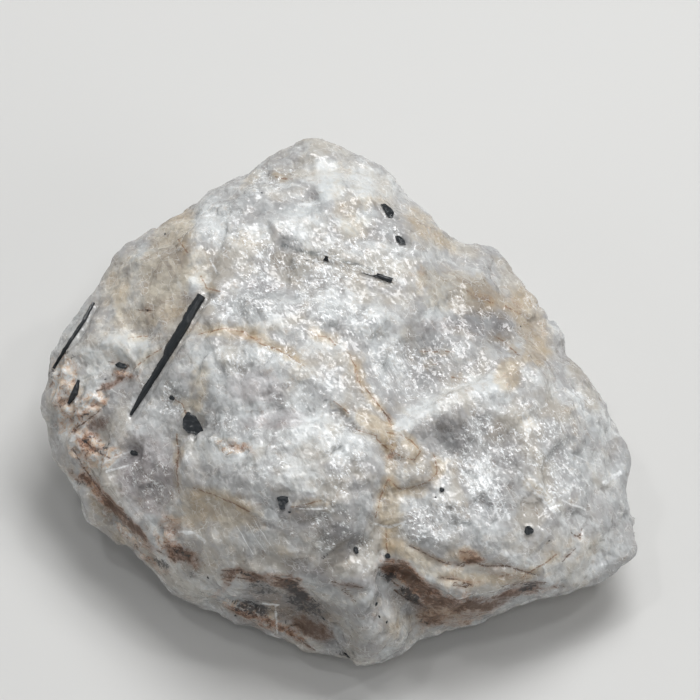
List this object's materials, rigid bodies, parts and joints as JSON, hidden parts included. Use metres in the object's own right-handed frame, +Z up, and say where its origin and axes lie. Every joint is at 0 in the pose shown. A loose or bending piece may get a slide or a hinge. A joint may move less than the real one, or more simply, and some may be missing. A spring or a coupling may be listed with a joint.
{
  "type": "rough moonstone",
  "caption": "Irregular, blunt-wedged lump of rough milky moonstone with thin black tourmaline rods and specks set in its surface, lying on a flat spot.",
  "frame": {"origin": "middle of the stone's bounding box, at the level of the flat spot that it rests on", "axes": "+Z up with the stone at rest, +X along its longest extent, and the pictured face turned up and towards -Y"},
  "size_m": [0.0752, 0.0652, 0.0339],
  "materials": {
    "moonstone": "satin",
    "tourmaline": "gloss"
  },
  "bodies": {
    "root": {"moonstone": "moonstone", "tourmaline_rod": "tourmaline", "tourmaline_needle": "tourmaline", "tourmaline_edge_needle": "tourmaline", "tourmaline_blade": "tourmaline", "tourmaline_block": "tourmaline", "tourmaline_star": "tourmaline", "tourmaline_top_upper": "tourmaline", "tourmaline_top_lower": "tourmaline", "tourmaline_right": "tourmaline", "tourmaline_left_upper": "tourmaline", "tourmaline_left_lower": "tourmaline", "tourmaline_small_left": "tourmaline", "tourmaline_small_low": "tourmaline", "tourmaline_crack_end": "tourmaline", "tourmaline_small_right": "tourmaline"}
  },
  "joints": []
}
